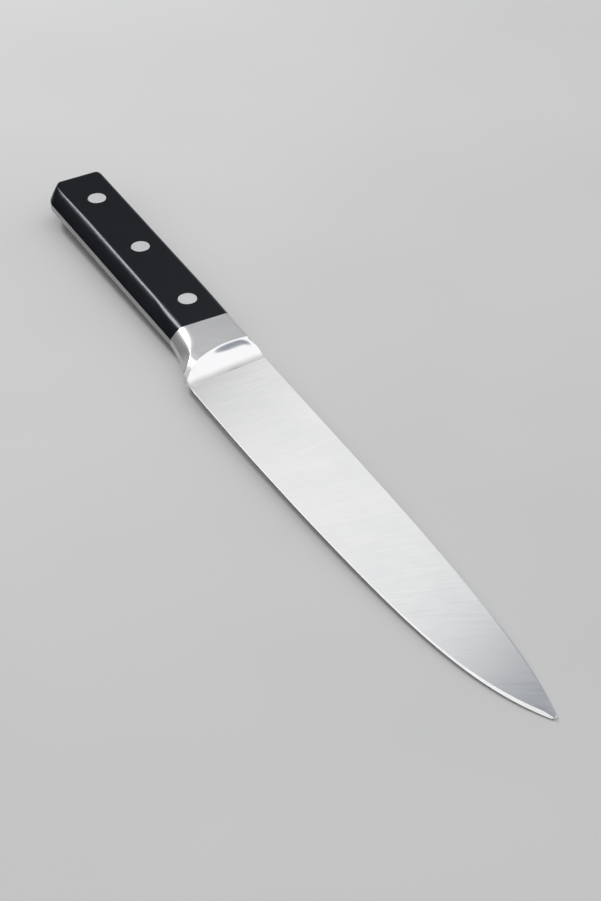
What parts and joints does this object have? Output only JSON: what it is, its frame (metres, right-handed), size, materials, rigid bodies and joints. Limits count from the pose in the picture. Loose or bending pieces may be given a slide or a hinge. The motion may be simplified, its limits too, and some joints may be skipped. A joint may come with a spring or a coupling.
{
  "type": "carving knife",
  "caption": "Carving knife with a slim pointed blade, a forged full bolster and tang, and riveted black handle scales.",
  "frame": {"origin": "centre of the knife's box in plan, on the plane of the flat lower side of the handle and bolster", "axes": "+X along the knife towards the tip, +Y from the cutting edge towards the spine, +Z through the thickness, away from the side the knife lies on"},
  "size_m": [0.3352, 0.0294, 0.0102],
  "materials": {
    "forged_steel": "stainless steel, satin with fine crosswise grinding on the blade, polished on the shoulder of the bolster",
    "scale_plastic": "moulded black plastic with a soft sheen",
    "rivet_steel": "satin, ground flush with the scales"
  },
  "bodies": {
    "root": {"blade": "forged_steel", "upper_scale": "scale_plastic", "lower_scale": "scale_plastic", "rear_rivet_pin": "rivet_steel", "rear_rivet_sleeve": "rivet_steel", "middle_rivet_pin": "rivet_steel", "middle_rivet_sleeve": "rivet_steel", "front_rivet_pin": "rivet_steel", "front_rivet_sleeve": "rivet_steel"}
  },
  "joints": []
}
